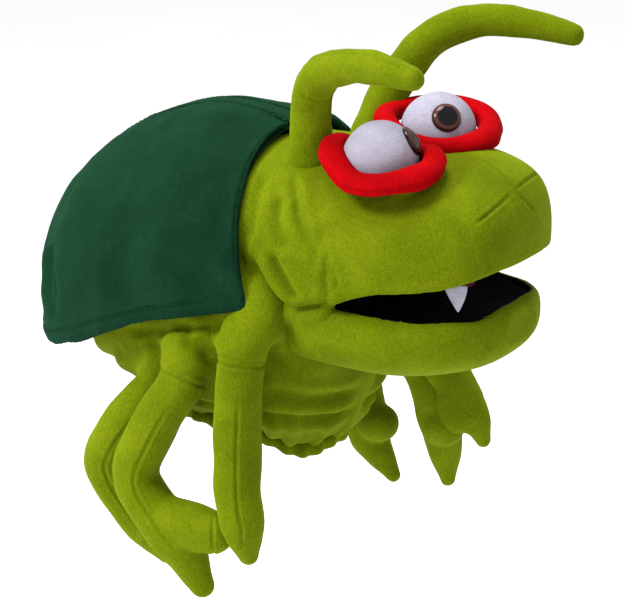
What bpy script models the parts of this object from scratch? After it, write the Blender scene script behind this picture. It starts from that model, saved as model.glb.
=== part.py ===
"""Moving mouth hand puppet: a plush beetle with wing covers, feelers and six hanging legs.

The puppet faces -Y, +Z is up, and the origin is the centre of the hand opening in its belly.
Lengths below are in millimetres; MM turns them into metres.
"""

import math

import bmesh
import bpy
from mathutils import Vector

MM = 0.001

# Driving dimensions, in millimetres.
SKIN = 4.0                    # plush with its backing
LINING = 1.5                  # felt, fleece or lining cloth
GAP = 0.4                     # room left between pieces that touch
CUFF_R = 42.0                 # radius of the gathered hand opening
CUFF_H = 16.0
NECK = (0.0, -26.0, 108.0)    # nod axis, along X
JAW = (0.0, -72.0, 100.0)     # mouth corner, along X
PALATE_RISE = math.radians(16.0)
EYE_R = 19.5
EYE = (28.0, -88.0, 174.0)    # left eye's centre
GAZE = (-0.586, -0.607, 0.537)
LEG_R = 11.8
FEELER_R = 11.0
STRIP = 6.0                   # half width of the strip between the two wing covers

# Joint axes of the limbs, one entry for each pair: (X outward, Y, Z).
FEELER_ROOT = (26.0, -47.5, 183.0)
LEG_ROOTS = {
    "front": (72.0, -34.0, 64.0),
    "middle": (84.5, -5.0, 56.0),
    "rear": (83.0, 28.0, 47.0),
}

PLUSH = ((0.27, 0.36, 0.012), 0.9)
DARK_PLUSH = ((0.012, 0.075, 0.045), 0.9)
BLACK_CLOTH = ((0.004, 0.005, 0.012), 0.8)
WHITE_FLEECE = ((0.72, 0.72, 0.82), 0.85)
RED_FLEECE = ((0.7, 0.006, 0.015), 0.85)
TONGUE_FELT = ((0.35, 0.01, 0.04), 0.9)
LINING_CLOTH = ((0.2, 0.24, 0.05), 0.8)
STUFFING = ((0.8, 0.8, 0.78), 0.95)
BOARD = ((0.35, 0.25, 0.15), 0.7)
ELASTIC = ((0.75, 0.75, 0.72), 0.8)
EYE_PLASTIC = ((0.06, 0.02, 0.015), 0.1)


# ---------------------------------------------------------------- helpers

def clear_scene():
    for obj in list(bpy.data.objects):
        bpy.data.objects.remove(obj, do_unlink=True)


def material(name, look):
    """A Principled material with the look's colour and roughness, made once."""
    found = bpy.data.materials.get(name)
    if found:
        return found
    colour, roughness = look
    mat = bpy.data.materials.new(name)
    mat.use_nodes = True
    shader = mat.node_tree.nodes["Principled BSDF"]
    shader.inputs["Base Color"].default_value = (*colour, 1.0)
    shader.inputs["Roughness"].default_value = roughness
    shader.inputs["Metallic"].default_value = 0.0
    mat.diffuse_color = (*colour, 1.0)
    return mat


def pivot(name, place):
    """An empty on a joint axis, which the moving pieces hang from."""
    empty = bpy.data.objects.new(name, None)
    empty.location = Vector(place) * MM
    bpy.context.scene.collection.objects.link(empty)
    return empty


def add(name, bm, look, parent=None, cutter=False):
    """Turn a bmesh in world millimetres into an object whose origin is its parent's."""
    bmesh.ops.recalc_face_normals(bm, faces=bm.faces)
    origin = parent.location.copy() if parent else Vector((0.0, 0.0, 0.0))
    for vert in bm.verts:
        vert.co = vert.co * MM - origin
    mesh = bpy.data.meshes.new(name)
    bm.to_mesh(mesh)
    bm.free()
    mesh.shade_smooth()
    mesh.set_sharp_from_angle(angle=math.radians(50))
    obj = bpy.data.objects.new(name, mesh)
    bpy.context.scene.collection.objects.link(obj)
    if parent:
        obj.parent = parent
    if cutter:
        obj.hide_render = True
        obj.display_type = "WIRE"
    else:
        mesh.materials.append(material(look[0], look[1]))
    return obj


def solidify(obj, thickness):
    """Give a sheet its thickness, measured inward from the outer face."""
    mod = obj.modifiers.new("thickness", "SOLIDIFY")
    mod.thickness = thickness * MM
    mod.offset = -1.0
    mod.use_even_offset = True


def subtract(obj, *cutters):
    for cutter in cutters:
        mod = obj.modifiers.new("cut", "BOOLEAN")
        mod.operation = "DIFFERENCE"
        mod.solver = "EXACT"
        mod.object = cutter


def power(value, exponent):
    return math.copysign(abs(value) ** exponent, value)


def superellipse(centre, half, count, squareness=2.0, start=0.0, sweep=math.tau, closed=True):
    """Points of a superellipse in a plane: (u, v) pairs round the centre."""
    steps = count if closed else count - 1
    points = []
    for i in range(count):
        angle = start + sweep * i / steps
        u = centre[0] + half[0] * power(math.cos(angle), 2.0 / squareness)
        v = centre[1] + half[1] * power(math.sin(angle), 2.0 / squareness)
        points.append((u, v))
    return points


def loft(rings, closed=True, cap_start=False, cap_end=False):
    """A bmesh skinned over rings of equal length."""
    bm = bmesh.new()
    rows = [[bm.verts.new(point) for point in ring] for ring in rings]
    count = len(rows[0])
    last = count if closed else count - 1
    for low, high in zip(rows, rows[1:]):
        for i in range(last):
            j = (i + 1) % count
            bm.faces.new((low[i], low[j], high[j], high[i]))
    if cap_start:
        bm.faces.new(list(reversed(rows[0])))
    if cap_end:
        bm.faces.new(rows[-1])
    return bm


def smooth_path(points, per_span=6):
    """A Catmull-Rom curve through the points."""
    knots = [Vector(p) for p in points]
    knots = [knots[0] * 2 - knots[1]] + knots + [knots[-1] * 2 - knots[-2]]
    path = []
    for k in range(1, len(knots) - 2):
        p0, p1, p2, p3 = knots[k - 1:k + 3]
        for step in range(per_span):
            t = step / per_span
            path.append(0.5 * (2 * p1 + (p2 - p0) * t
                               + (2 * p0 - 5 * p1 + 4 * p2 - p3) * t * t
                               + (3 * p1 - p0 - 3 * p2 + p3) * t * t * t))
    path.append(knots[-2])
    return path


def limb(points, radii, sides=16, per_span=4, squash=1.0):
    """A stuffed limb: round sections along a smooth path, with rounded ends."""
    path = smooth_path(points, per_span)
    sizes = smooth_path([(r, 0.0, 0.0) for r in radii], per_span)
    sizes = [s.x for s in sizes]
    tangents = []
    for i in range(len(path)):
        ahead = path[min(i + 1, len(path) - 1)]
        behind = path[max(i - 1, 0)]
        tangents.append((ahead - behind).normalized())
    side = tangents[0].cross(Vector((0.0, 1.0, 0.0))).normalized()
    rings = []

    def ring(centre, tangent, size):
        across = side.cross(tangent).normalized()
        return [centre + (side * math.cos(math.tau * i / sides)
                          + across * math.sin(math.tau * i / sides) * squash) * size
                for i in range(sides)]

    dome = [math.radians(a) for a in (78, 52, 26)]
    for angle in dome:
        rings.append(ring(path[0] - tangents[0] * sizes[0] * math.sin(angle),
                          tangents[0], sizes[0] * math.cos(angle)))
    for centre, tangent, size in zip(path, tangents, sizes):
        side = (side - tangent * side.dot(tangent)).normalized()
        rings.append(ring(centre, tangent, size))
    for angle in reversed(dome):
        rings.append(ring(path[-1] + tangents[-1] * sizes[-1] * math.sin(angle),
                          tangents[-1], sizes[-1] * math.cos(angle)))
    return loft(rings, cap_start=True, cap_end=True)


def block(low, high):
    """A box between two corners."""
    bm = bmesh.new()
    bmesh.ops.create_cube(bm, size=1.0)
    for vert in bm.verts:
        for axis in range(3):
            middle = (low[axis] + high[axis]) / 2
            vert.co[axis] = middle + vert.co[axis] * (high[axis] - low[axis])
    return bm


def ball(centre, radius, segments=24, rings=14):
    bm = bmesh.new()
    bmesh.ops.create_uvsphere(bm, u_segments=segments, v_segments=rings, radius=radius)
    bmesh.ops.translate(bm, verts=bm.verts, vec=centre)
    return bm


def turned(profile, centre, axis, sides=24):
    """A solid of revolution from (radius, height) pairs, standing at centre along axis."""
    turn = Vector((0.0, 0.0, 1.0)).rotation_difference(Vector(axis)).to_matrix()
    rings = []
    for radius, height in profile:
        ring = []
        for i in range(sides):
            angle = math.tau * i / sides
            local = Vector((radius * math.cos(angle), radius * math.sin(angle), height))
            ring.append(Vector(centre) + turn @ local)
        rings.append(ring)
    return rings


def mirrored(point, side):
    return (point[0] * side, point[1], point[2])


# ---------------------------------------------------------------- body

# Plan rings of the plush body: height, half width, half length, middle in Y.
BODY_RINGS = [
    (17.0, 50.0, 52.0, 3.0), (24.0, 58.0, 60.0, 5.0), (34.0, 66.0, 68.0, 8.0),
    (50.0, 70.0, 75.0, 15.0), (70.0, 71.0, 79.0, 20.0), (95.0, 70.0, 80.0, 22.0),
    (118.0, 66.0, 74.0, 20.0), (138.0, 57.0, 62.0, 18.0), (152.0, 42.0, 46.0, 18.0),
    (160.0, 25.0, 28.0, 18.0), (162.5, 9.0, 10.0, 18.0),
]


def body_skin():
    rings = []
    for z, half_x, half_y, middle in BODY_RINGS:
        outline = superellipse((0.0, middle), (half_x, half_y), 36, 2.15)
        rings.append([(x, y, z) for x, y in outline])
    skin = add("body_skin", loft(rings, cap_end=True), ("green_plush", PLUSH))
    solidify(skin, SKIN)
    neck_hole = add("neck_hole_cutter", block((-90, -90, 43), (90, -14, 175)), None, cutter=True)
    subtract(skin, neck_hole)


def body_stuffing():
    """Filling behind and above the hand, which keeps the back round."""
    middle = Vector((0.0, 36.0, 104.0))
    stuffing = ball((0.0, 0.0, 0.0), 1.0, 20, 12)
    for vert in stuffing.verts:
        vert.co = middle + Vector((vert.co.x * 46.0, vert.co.y * 34.0, vert.co.z * 38.0))
    add("body_stuffing", stuffing, ("stuffing", STUFFING))


def sleeve(name, rings, thickness, look, sides=32):
    """An open tube of round plan rings: height, radius, middle in Y."""
    shape = [[(x, y, z) for x, y in superellipse((0.0, middle), (radius, radius), sides)]
             for z, radius, middle in rings]
    tube = add(name, loft(shape), look)
    solidify(tube, thickness)


def hand_entry():
    """The gathered cuff, the elastic in its casing and the lining that the hand slides in."""
    sleeve("cuff", [(0.0, CUFF_R + 3.0, 0.0), (4.0, CUFF_R, 0.0), (9.0, CUFF_R, 0.5),
                    (CUFF_H - 0.5, CUFF_R + 6.0, 1.5)], 2.6, ("green_plush", PLUSH))
    sleeve("cuff_elastic", [(3.5, CUFF_R - 3.2, 0.0), (9.5, CUFF_R - 3.2, 0.0)], 1.2,
           ("elastic", ELASTIC))
    sleeve("hand_lining", [(2.0, CUFF_R - 5.0, 0.0), (14.0, CUFF_R - 5.0, 0.0),
                           (34.0, CUFF_R, 0.0), (52.0, CUFF_R + 2.0, -2.0)], LINING,
           ("lining_cloth", LINING_CLOTH))


# The wing covers' shape. Each station runs from the front edge to the tail:
# (ridge Y, ridge Z, hem half width, hem Y, hem Z).
WING_STATIONS = [
    (-22.0, 178.0, 74.0, -40.0, 98.0),
    (0.0, 181.5, 84.0, -16.0, 93.0),
    (25.0, 182.0, 87.0, 12.0, 85.0),
    (50.0, 176.0, 85.0, 40.0, 74.0),
    (76.0, 164.0, 78.0, 68.0, 62.0),
    (99.0, 146.0, 66.0, 92.0, 54.0),
    (119.0, 122.0, 47.0, 112.0, 54.0),
    (131.0, 94.0, 24.0, 126.0, 62.0),
]


def wing_point(station, share, inset=0.0):
    """A point of the dome between the ridge (share 0) and the hem (share 1)."""
    ridge_y, ridge_z, half, hem_y, hem_z = station
    angle = share * math.pi / 2
    out = math.sin(angle) ** 0.88
    down = 1.0 - max(math.cos(angle), 0.0) ** 0.95
    lean = down ** 1.2
    x = (half - inset) * out
    y = ridge_y + (hem_y - ridge_y) * lean
    z = ridge_z - inset + (hem_z - ridge_z + inset) * down
    return x, y, z


def wing_rows(first, last, inset=0.0, steps=10):
    """Rows of points across one side of the dome, from station to station."""
    stations = smooth_stations(WING_STATIONS, 2)
    rows = []
    for station in stations:
        half = max(station[2] - inset, 1.0)
        rows.append([wing_point(station, first(half) + (last - first(half)) * i / steps, inset)
                     for i in range(steps + 1)])
    return rows


def smooth_stations(stations, per_span):
    """Stations with smooth ones between them."""
    columns = [[s.x for s in smooth_path([(row[k], 0.0, 0.0) for row in stations], per_span)]
               for k in range(len(stations[0]))]
    return list(zip(*columns))


def share_at(width, half):
    """The share of the dome's arc that lies the given width from the ridge."""
    return math.asin(min(1.0, (width / half) ** (1.0 / 0.88))) * 2.0 / math.pi


def wing_cover(side):
    name = "wing_cover_left" if side > 0 else "wing_cover_right"
    rows = wing_rows(lambda half: share_at(STRIP + GAP, half), 1.0)
    rows = [[mirrored(point, side) for point in row] for row in rows]
    cover = add(name, loft(rows, closed=False), ("dark_plush", DARK_PLUSH))
    turn_out(cover, (0.0, 20.0, 100.0))
    solidify(cover, SKIN)


def turn_out(obj, middle):
    """Face an open sheet away from a point inside it."""
    centre = Vector(middle) * MM
    faces = obj.data.polygons
    facing = sum((face.center - centre).dot(face.normal) for face in faces)
    if facing < 0:
        obj.data.flip_normals()


def wing_centre_strip():
    """The narrow strip down the back that both covers are stitched to."""
    rows = []
    for station in smooth_stations(WING_STATIONS, 2):
        row = []
        for i in range(7):
            width = STRIP * (i / 3 - 1)
            x, y, z = wing_point(station, share_at(abs(width), station[2]))
            row.append((math.copysign(x, width), y, z))
        rows.append(row)
    strip = add("wing_centre_strip", loft(rows, closed=False), ("dark_plush", DARK_PLUSH))
    turn_out(strip, (0.0, 20.0, 100.0))
    solidify(strip, SKIN)


def wing_lining():
    """One dark cloth under both covers, down to just above the hem."""
    inset = SKIN + 1.0
    rows = []
    for row in wing_rows(lambda half: 0.0, 0.93, inset, 8):
        row = [(x, 20.0 + (y - 20.0) * 0.94, z) for x, y, z in row]
        rows.append([mirrored(point, -1) for point in reversed(row[1:])] + row)
    lining = add("wing_lining", loft(rows, closed=False), ("dark_plush", DARK_PLUSH))
    turn_out(lining, (0.0, 20.0, 100.0))
    solidify(lining, LINING)


# ---------------------------------------------------------------- head

# Upright sections of the head: Y, half width, bottom, top, squareness.
HEAD_SECTIONS = [
    (-26.0, 59.0, 58.0, 161.0, 2.2), (-45.0, 61.0, 56.0, 166.0, 2.2),
    (-65.0, 61.5, 55.0, 167.5, 2.3), (-90.0, 60.5, 56.0, 168.0, 2.5),
    (-112.0, 57.0, 60.0, 168.0, 2.8), (-128.0, 52.5, 68.0, 166.0, 3.0),
    (-141.0, 47.0, 78.0, 163.0, 3.1), (-150.0, 40.0, 88.0, 158.5, 3.0),
    (-155.0, 30.0, 100.0, 152.0, 2.8), (-157.5, 15.0, 112.0, 146.0, 2.5),
]


def head_skin(parent):
    rings = []
    for y, half, bottom, top, squareness in HEAD_SECTIONS:
        outline = superellipse((0.0, (bottom + top) / 2), (half, (top - bottom) / 2), 36,
                               squareness)
        rings.append([(x, y, z) for x, z in outline])
    skin = add("head_skin", loft(rings, cap_end=True), ("green_plush", PLUSH), parent)
    solidify(skin, SKIN)
    far = 120.0
    rise = far * math.tan(PALATE_RISE)
    wedge = bmesh.new()
    section = [(JAW[1] + 8.0, JAW[2] + 2.0), (JAW[1] - far, JAW[2] + 2.0 + rise),
               (JAW[1] - far, 30.0), (JAW[1] + 18.0, 30.0)]
    ends = [[wedge.verts.new((x, y, z)) for y, z in section] for x in (-90.0, 90.0)]
    wedge.faces.new(ends[0])
    wedge.faces.new(list(reversed(ends[1])))
    for i in range(4):
        j = (i + 1) % 4
        wedge.faces.new((ends[0][j], ends[0][i], ends[1][i], ends[1][j]))
    mouth = add("mouth_cutter", wedge, None, cutter=True)
    sockets = []
    for side in (1, -1):
        where = mirrored(EYE, side)
        name = "left" if side > 0 else "right"
        sockets.append(add("socket_cutter_" + name, ball(where, EYE_R + 1.0, 24, 14), None,
                           cutter=True))
        sockets.append(add("lid_cutter_" + name, lid_roll(side, GAP), None, cutter=True))
    subtract(skin, mouth, *sockets)


def palate_z(y, lift):
    """Height of the sloping roof of the mouth."""
    return JAW[2] + 2.0 + (JAW[1] - y) * math.tan(PALATE_RISE) + lift


def mouth_sheet(name, half_at, depth, floor, look, parent, thickness):
    """A flat tongue-shaped sheet from the mouth corner forward, on a sloping floor."""
    steps = 12
    outline = []
    for i in range(steps + 1):
        angle = math.pi * i / steps
        x = half_at * power(math.cos(angle), 0.62)
        y = JAW[1] - 6.0 - depth * power(math.sin(angle), 0.75)
        outline.append((x, y))
    outline = [(half_at, JAW[1] - 2.0)] + outline + [(-half_at, JAW[1] - 2.0)]
    low = [(x, y, floor(y)) for x, y in outline]
    high = [(x, y, floor(y) + thickness) for x, y in outline]
    add(name, loft([low, high], cap_start=True, cap_end=True), look, parent)


def head_inside(parent):
    """Palate board and lining, the pocket for four fingers, and the forehead filling."""
    mouth_sheet("palate_lining", 48.5, 70.0, lambda y: palate_z(y, 1.0), ("black_cloth",
                BLACK_CLOTH), parent, 1.2)
    mouth_sheet("palate_board", 47.0, 67.0, lambda y: palate_z(y, 2.6), ("board", BOARD),
                parent, 2.0)
    # The pocket's tube lies on the board: rings along its slope.
    rings = []
    for y, half, height in ((-58.0, 40.0, 30.0), (-78.0, 41.0, 27.0), (-104.0, 38.0, 23.0),
                            (-128.0, 30.0, 18.0)):
        floor = palate_z(min(y, -72.0), 5.2)
        outline = superellipse((0.0, floor + height / 2), (half, height / 2), 24, 3.0)
        rings.append([(x, y, z) for x, z in outline])
    pocket = add("finger_pocket", loft(rings, cap_end=True), ("lining_cloth", LINING_CLOTH),
                 parent)
    solidify(pocket, LINING)
    filling = loft([[(x, y, z) for x, z in superellipse((0.0, middle), (half, high), 20, 2.4)]
                    for y, half, middle, high in ((-42.0, 26.0, 148.0, 6.0),
                                                  (-50.0, 32.0, 149.0, 7.5),
                                                  (-58.0, 26.0, 149.0, 6.0))],
                   cap_start=True, cap_end=True)
    add("head_stuffing", filling, ("stuffing", STUFFING), parent)
    top = [(-43.0, -133.0), (-41.5, -139.0), (-43.0, -145.0), (-45.5, -139.0)]
    rings = []
    for drop, scale in ((0.0, 1.0), (6.0, 0.8), (11.5, 0.4), (14.0, 0.12)):
        ring = []
        for x, y in top:
            ring.append((-43.5 + (x + 43.5) * scale, -139.5 + (y + 139.5) * scale,
                         palate_z(-139.0, 0.0) - drop))
        rings.append(ring)
    add("fang", loft(rings, cap_start=True, cap_end=True), ("white_fleece", WHITE_FLEECE),
        parent)


def eye(side, parent):
    """Fleece ball with a plastic safety eye, its lock washer, and the red lid round it."""
    tag = "left" if side > 0 else "right"
    centre = Vector(mirrored(EYE, side))
    gaze = Vector(mirrored(GAZE, side)).normalized()
    profile = [(2.9, EYE_R * 0.985), (7.0, EYE_R * 0.93)]
    profile += [(EYE_R * math.sin(math.radians(a)), EYE_R * math.cos(math.radians(a)))
                for a in range(36, 145, 12)]
    profile += [(9.0, -EYE_R * 0.88), (9.0, 4.0), (2.9, 4.0)]
    rings = turned(profile, centre, gaze)
    add("eyeball_" + tag, closed_turn(rings), ("white_fleece", WHITE_FLEECE), parent)
    lens = [(7.4, 0.5), (7.4, 1.4), (6.6, 3.2), (4.8, 4.8), (2.4, 5.7), (0.5, 5.9)]
    shank = [(2.4, -18.0), (2.4, 0.5)]
    profile = [(r, h + EYE_R * 0.985) for r, h in shank + lens]
    add("safety_eye_" + tag, loft(turned(profile, centre, gaze, 20), cap_start=True,
                                  cap_end=True), ("eye_plastic", EYE_PLASTIC), parent)
    washer = [(2.8, 1.5), (2.8, 3.5), (7.0, 3.5), (7.0, 1.5)]
    add("eye_washer_" + tag, closed_turn(turned(washer, centre, gaze, 20)),
        ("eye_plastic", EYE_PLASTIC), parent)


def closed_turn(rings):
    """A ring-shaped solid: the last section joins the first."""
    bm = bmesh.new()
    rows = [[bm.verts.new(point) for point in ring] for ring in rings]
    count = len(rows[0])
    for k, row in enumerate(rows):
        ahead = rows[(k + 1) % len(rows)]
        for i in range(count):
            j = (i + 1) % count
            bm.faces.new((row[i], row[j], ahead[j], ahead[i]))
    return bm


def lid_roll(side, grow=0.0):
    """A stuffed roll round the ball, low and thick in front, thin beside its twin."""
    centre = Vector(mirrored(EYE, side))
    rings = []
    count = 28
    for i in range(count):
        angle = math.tau * i / count
        front = math.sin(angle)
        outer = math.cos(angle)
        roll = 4.9 + 1.3 * front + 0.6 * outer - 1.6 * max(0.0, -outer) - 1.0 * max(0.0, -front)
        outward = Vector((side * outer, -front, 0.0))
        middle = centre + outward * (EYE_R + 0.8 + roll)
        middle.z += -3.0 - 5.0 * front
        ring = []
        for k in range(10):
            turn = math.tau * k / 10
            ring.append(middle + outward * math.cos(turn) * (roll + grow)
                        + Vector((0.0, 0.0, 1.0)) * math.sin(turn) * (roll + 0.8 + grow))
        rings.append(ring)
    return closed_turn(rings)


def eyelid(side, parent):
    tag = "left" if side > 0 else "right"
    add("eyelid_" + tag, lid_roll(side), ("red_fleece", RED_FLEECE), parent)


# ---------------------------------------------------------------- jaw

# Trough sections of the lower jaw: Y, half width, bottom, lip height.
JAW_SECTIONS = [
    (-80.0, 57.0, 54.0, 98.0), (-94.0, 57.0, 55.0, 98.0), (-108.0, 55.5, 58.0, 98.5),
    (-122.0, 51.5, 62.0, 98.5), (-133.0, 46.0, 66.0, 98.5), (-142.0, 38.5, 70.0, 98.0),
    (-149.0, 28.0, 75.0, 96.5), (-153.0, 14.0, 81.0, 94.5),
]


def jaw_skin(parent):
    rows = []
    for y, half, bottom, lip in JAW_SECTIONS:
        arc = superellipse((0.0, lip), (half, lip - bottom), 25, 2.5, math.pi, math.pi, False)
        rows.append([(x, y, z) for x, z in arc])
    bm = loft(rows, closed=False)
    bm.verts.ensure_lookup_table()
    bm.faces.new(bm.verts[-25:])
    skin = add("jaw_skin", bm, ("green_plush", PLUSH), parent)
    turn_out(skin, (0.0, -120.0 + 72.0, 95.0 - 100.0))
    solidify(skin, SKIN)


def jaw_floor(y, lift):
    """Height of the floor of the mouth, which falls a little and rises to the lip."""
    reach = (JAW[1] - y) / 80.0
    return JAW[2] - 8.0 + 6.0 * reach ** 2 + lift


def jaw_inside(parent):
    """Jaw board and lining, the tongue, the thumb pocket and the chin filling."""
    mouth_sheet("jaw_lining", 46.0, 60.0, lambda y: jaw_floor(y, 0.0), ("black_cloth",
                BLACK_CLOTH), parent, 1.2)
    mouth_sheet("jaw_board", 44.0, 58.0, lambda y: jaw_floor(y, -3.2), ("board", BOARD),
                parent, 2.0)
    tongue(parent)
    rings = []
    for y, half, height in ((-78.0, 24.0, 24.0), (-94.0, 23.0, 22.0), (-110.0, 20.0, 19.0),
                            (-123.0, 14.0, 14.0)):
        roof = jaw_floor(y, -4.2)
        outline = superellipse((0.0, roof - height / 2), (half, height / 2), 24, 2.6)
        rings.append([(x, y, z) for x, z in outline])
    pocket = add("thumb_pocket", loft(rings, cap_end=True), ("lining_cloth", LINING_CLOTH),
                 parent)
    solidify(pocket, LINING)
    filling = loft([[(x, y, z) for x, z in superellipse((0.0, middle), (half, high), 20, 2.2)]
                    for y, half, middle, high in ((-125.0, 24.0, 80.0, 7.0),
                                                  (-131.0, 25.0, 82.0, 7.5),
                                                  (-137.0, 19.0, 84.0, 6.0))],
                   cap_start=True, cap_end=True)
    add("jaw_stuffing", filling, ("stuffing", STUFFING), parent)


# The tongue's middle line in plan, from its root to its tip, with its half widths: it flops
# to the puppet's left.
TONGUE_PATH = [(6.0, -79.0, 8.0), (12.0, -92.0, 11.5), (22.0, -105.0, 11.0), (30.0, -114.0, 6.5)]


def tongue(parent):
    """A flat strip of felt on the floor of the mouth."""
    rings = []
    for middle, y, half in TONGUE_PATH:
        low = jaw_floor(y, 2.0)
        outline = superellipse((middle, low + 1.5), (half, 1.5), 16, 3.0)
        rings.append([(x, y, z) for x, z in outline])
    add("tongue", loft(rings, cap_start=True, cap_end=True), ("tongue_felt", TONGUE_FELT), parent)


# ---------------------------------------------------------------- limbs

FEELER_PATH = [(26.0, -47.5, 183.0), (41.0, -55.0, 198.0), (56.0, -70.0, 216.0),
               (66.0, -89.0, 224.0), (74.0, -113.0, 224.0), (79.0, -131.0, 220.0)]
FEELER_RADII = [FEELER_R, 10.6, 9.6, 8.6, 7.6, 6.0]


def feeler(side, parent):
    tag = "left" if side > 0 else "right"
    path = [mirrored(point, side) for point in FEELER_PATH]
    add("feeler_" + tag, limb(path, FEELER_RADII, 14, 3), ("green_plush", PLUSH), parent)


# Each leg bends in its own way, as a stuffed leg hangs. Points run from the hip to the foot.
LEG_PATHS = {
    "front_right": [(-72, -34, 64), (-76, -36, 32), (-79, -39, 0), (-80, -42, -26)],
    "middle_right": [(-84.5, -5, 56), (-86, 10, 30), (-87, 22, 4), (-86, 2, -21),
                     (-85, -17, -48)],
    "rear_right": [(-83, 28, 47), (-79, 45, 28), (-74, 52, 4), (-72, 36, -20), (-73, 16, -40)],
    "front_left": [(72, -34, 64), (80, -60, 40), (89, -81, 14), (94, -88, -10)],
    "middle_left": [(84.5, -5, 56), (86, -29, 34), (88, -51, 10), (90, -56, -12),
                    (90, -58, -38)],
    "rear_left": [(83, 28, 47), (86, 4, 22), (88, -12, -8), (89, -20, -28), (90, -26, -40)],
}
# Radii from the hip to the foot, as shares of the leg's radius.
LEG_TAPER = {4: (1.0, 1.0, 1.0, 0.8), 5: (1.0, 1.0, 0.95, 0.93, 0.7)}


def leg(name, parent):
    path = LEG_PATHS[name]
    radii = [LEG_R * share for share in LEG_TAPER[len(path)]]
    add("leg_" + name, limb(path, radii, 14, 3), ("green_plush", PLUSH), parent)


def build():
    clear_scene()
    body_skin()
    body_stuffing()
    hand_entry()
    for side in (1, -1):
        wing_cover(side)
    wing_centre_strip()
    wing_lining()

    neck = pivot("neck_axis", NECK)
    head_skin(neck)
    head_inside(neck)
    jaw = pivot("jaw_axis", JAW)
    jaw_skin(jaw)
    jaw_inside(jaw)
    for side in (1, -1):
        eye(side, neck)
        eyelid(side, neck)
        tag = "left" if side > 0 else "right"
        feeler(side, pivot("feeler_axis_" + tag, mirrored(FEELER_ROOT, side)))
    for place, root in LEG_ROOTS.items():
        for tag, side in (("left", 1), ("right", -1)):
            leg(place + "_" + tag, pivot("hip_" + place + "_" + tag, mirrored(root, side)))


build()
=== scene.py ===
"""A plush beetle hand puppet with a moving mouth, dressed over its CAD frame.

The puppet faces -Y and +Z is up. Shapes are worked out in millimetres and stored in metres.
"""

import math

import bmesh
import bpy
import numpy as np
from mathutils import Matrix, Vector, noise
from mathutils.bvhtree import BVHTree


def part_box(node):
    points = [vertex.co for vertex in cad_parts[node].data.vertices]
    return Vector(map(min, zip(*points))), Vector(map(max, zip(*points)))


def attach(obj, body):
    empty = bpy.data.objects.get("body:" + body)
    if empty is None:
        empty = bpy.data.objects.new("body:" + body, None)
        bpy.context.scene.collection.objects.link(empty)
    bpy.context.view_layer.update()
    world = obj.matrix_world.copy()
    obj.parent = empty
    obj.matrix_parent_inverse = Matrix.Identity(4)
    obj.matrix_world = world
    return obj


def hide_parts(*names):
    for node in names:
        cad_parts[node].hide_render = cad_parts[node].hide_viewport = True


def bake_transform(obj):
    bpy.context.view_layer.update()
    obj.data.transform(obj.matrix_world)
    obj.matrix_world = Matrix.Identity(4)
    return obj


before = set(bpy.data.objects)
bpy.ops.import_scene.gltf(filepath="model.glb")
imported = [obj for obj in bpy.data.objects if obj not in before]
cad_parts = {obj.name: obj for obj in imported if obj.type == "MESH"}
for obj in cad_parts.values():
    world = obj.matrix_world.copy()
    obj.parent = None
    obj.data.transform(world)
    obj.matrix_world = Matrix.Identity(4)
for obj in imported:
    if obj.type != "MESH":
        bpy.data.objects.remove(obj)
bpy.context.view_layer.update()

MM = 0.001

# Sizes and places, in millimetres, read from the frame where the frame has them.
LIP = 8.0                # how far the plush lip stands round the black lining
MOUTH_BACK = -76.0       # Y of the mouth's corners
SHOULDER = 0.35          # how far cloth swells beside a crease, as a share of its depth
VIEW_WIDTH = 0.3375      # width of the picture at the puppet, in metres
SIDES = {1: "left", -1: "right"}
# Each eye: the ball's centre, its radius and where it looks.
EYES = {"left": ((28.0, -88.0, 174.0), 19.3, (-0.596, -0.589, 0.546)),
        "right": ((-28.0, -88.0, 171.0), 18.8, (0.357, -0.765, 0.533))}


def node_box(node):
    """Lowest and highest corners of a CAD node, in millimetres."""
    low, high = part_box(node)
    return Vector(low) / MM, Vector(high) / MM


# ---------------------------------------------------------------- mesh helpers

def make(name, verts, faces):
    """An object from points in millimetres."""
    mesh = bpy.data.meshes.new(name)
    mesh.from_pydata([tuple(c * MM for c in v) for v in verts], [], faces)
    mesh.update()
    obj = bpy.data.objects.new(name, mesh)
    bpy.context.scene.collection.objects.link(obj)
    return obj


def loft(name, rings, closed=True, capped=False, loop=False):
    """Skin over rings of equal length; loop joins the last ring to the first."""
    count = len(rings[0])
    verts = [point for ring in rings for point in ring]
    faces = []
    rows = len(rings)
    for k in range(rows if loop else rows - 1):
        low, high = k * count, (k + 1) % rows * count
        for i in range(count if closed else count - 1):
            j = (i + 1) % count
            faces.append((low + i, low + j, high + j, high + i))
    if capped:
        faces.append(tuple(reversed(range(count))))
        faces.append(tuple((rows - 1) * count + i for i in range(count)))
    obj = make(name, verts, faces)
    fix_normals(obj)
    return obj


def fix_normals(obj):
    bm = bmesh.new()
    bm.from_mesh(obj.data)
    bmesh.ops.recalc_face_normals(bm, faces=bm.faces)
    bm.to_mesh(obj.data)
    bm.free()


def power(value, exponent):
    return math.copysign(abs(value) ** exponent, value)


def superellipse(centre, half, count, squareness=2.0):
    points = []
    for i in range(count):
        angle = math.tau * i / count
        points.append((centre[0] + half[0] * power(math.cos(angle), 2.0 / squareness),
                       centre[1] + half[1] * power(math.sin(angle), 2.0 / squareness)))
    return points


def spline(rows, per_span):
    """Rows of numbers with smooth ones between them, by Catmull-Rom."""
    knots = [np.array(row, float) for row in rows]
    knots = [2 * knots[0] - knots[1]] + knots + [2 * knots[-1] - knots[-2]]
    out = []
    for k in range(1, len(knots) - 2):
        p0, p1, p2, p3 = knots[k - 1:k + 3]
        for step in range(per_span):
            t = step / per_span
            out.append(0.5 * (2 * p1 + (p2 - p0) * t + (2 * p0 - 5 * p1 + 4 * p2 - p3) * t * t
                              + (3 * p1 - p0 - 3 * p2 + p3) * t ** 3))
    out.append(knots[-2])
    return out


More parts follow.
